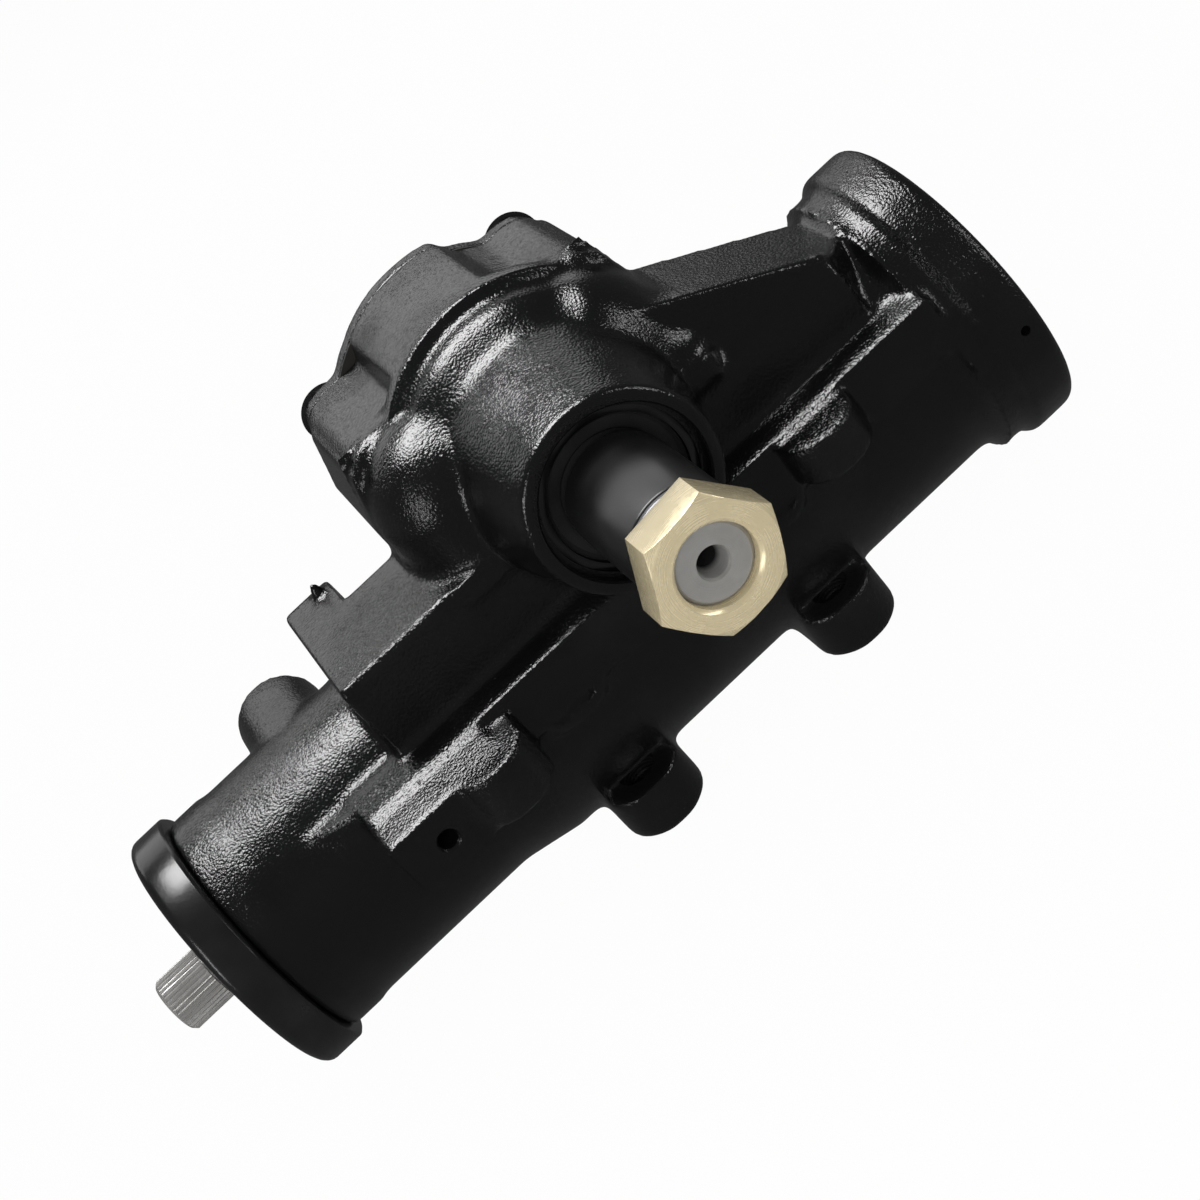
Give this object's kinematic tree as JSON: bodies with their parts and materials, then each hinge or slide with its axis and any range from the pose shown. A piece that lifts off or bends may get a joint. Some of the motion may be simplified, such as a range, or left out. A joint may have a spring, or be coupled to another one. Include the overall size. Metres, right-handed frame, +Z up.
{
  "type": "steering gearbox",
  "caption": "Black cast-iron power steering gearbox with a recirculating-ball worm, rack piston and sector shaft, a serrated input shaft and a pitman shaft closed by a hex nut.",
  "frame": {"origin": "middle of the four frame bolts on the mounting face", "axes": "+X along the worm axis towards the end plug, -Y along the pitman shaft, +Z up from the mounting face"},
  "size_m": [0.3513, 0.2298, 0.173],
  "materials": {
    "black_iron": "gloss black paint over cast grain",
    "black_cap": "gloss black paint",
    "dark_steel": "dark phosphate",
    "gasket": "compressed fibre",
    "black_bolt": "black paint",
    "bronze": "satin",
    "steel": "ground",
    "bearing_steel": "polished",
    "seal_rubber": "matte",
    "brass_seat": "turned",
    "ring_plastic": "filled plastic",
    "bare_steel": "turned bare steel",
    "sleeve_black": "smooth satin black",
    "yellow_zinc": "pale yellow zinc plate"
  },
  "bodies": {
    "gear_case": {"housing": "black_iron", "side_cover": "black_iron", "side_cover_gasket": "gasket", "side_cover_bolts": "black_bolt", "sector_bush": "bronze", "lash_adjuster_screw": "steel", "lash_locknut": "steel", "sector_bearing_cup": "bearing_steel", "sector_needles": "bearing_steel", "sector_inner_seal": "seal_rubber", "sector_seal_washer": "steel", "sector_outer_seal": "seal_rubber", "sector_snap_ring": "dark_steel", "end_plug": "black_iron", "end_plug_o_ring": "seal_rubber", "end_plug_retaining_ring": "dark_steel", "adjuster_plug": "dark_steel", "adjuster_locknut": "black_cap", "adjuster_o_ring": "seal_rubber", "input_bearing": "bearing_steel", "input_seal": "seal_rubber", "input_dust_seal": "seal_rubber", "upper_thrust_bearing": "bearing_steel", "lower_thrust_bearing": "bearing_steel", "pressure_port_seat": "brass_seat", "return_port_seat": "brass_seat"},
    "worm": {"wormshaft": "steel", "valve_sleeve": "steel", "valve_rings": "ring_plastic", "sleeve_drive_pin": "steel"},
    "stub": {"stub_shaft": "bare_steel", "torsion_bar": "steel"},
    "rack": {"rack_piston": "dark_steel", "piston_ring": "ring_plastic", "piston_end_plug": "dark_steel", "ball_set": "bearing_steel", "ball_guide": "steel", "guide_clamp": "steel", "clamp_screws": "dark_steel"},
    "sector": {"sector_shaft": "bare_steel", "spline_sleeve": "sleeve_black", "lock_washer": "dark_steel", "pitman_nut": "yellow_zinc"}
  },
  "joints": [
    {"name": "input_turn", "type": "hinge", "parent": "gear_case", "child": "worm", "pos_m": [0.01, 0, 0.048], "axis": [1, 0, 0], "range_deg": [-560, 560]},
    {"name": "stub_twist", "type": "hinge", "parent": "worm", "child": "stub", "pos_m": [0.01, 0, 0.048], "axis": [1, 0, 0], "range_deg": [-5, 5], "stiffness_Nm_per_rad": 90},
    {"name": "rack_slide", "type": "slide", "parent": "gear_case", "child": "rack", "axis": [1, 0, 0], "range_m": [-0.02445, 0.02445]},
    {"name": "sector_swing", "type": "hinge", "parent": "gear_case", "child": "sector", "pos_m": [0.01, 0, 0.112], "axis": [0, 1, 0], "range_deg": [-40.02, 40.02]}
  ],
  "couplings": [
    {"joint": "rack_slide", "follows": "input_turn", "m_per_rad": -0.0025},
    {"joint": "sector_swing", "follows": "input_turn", "ratio": 0.071429}
  ]
}
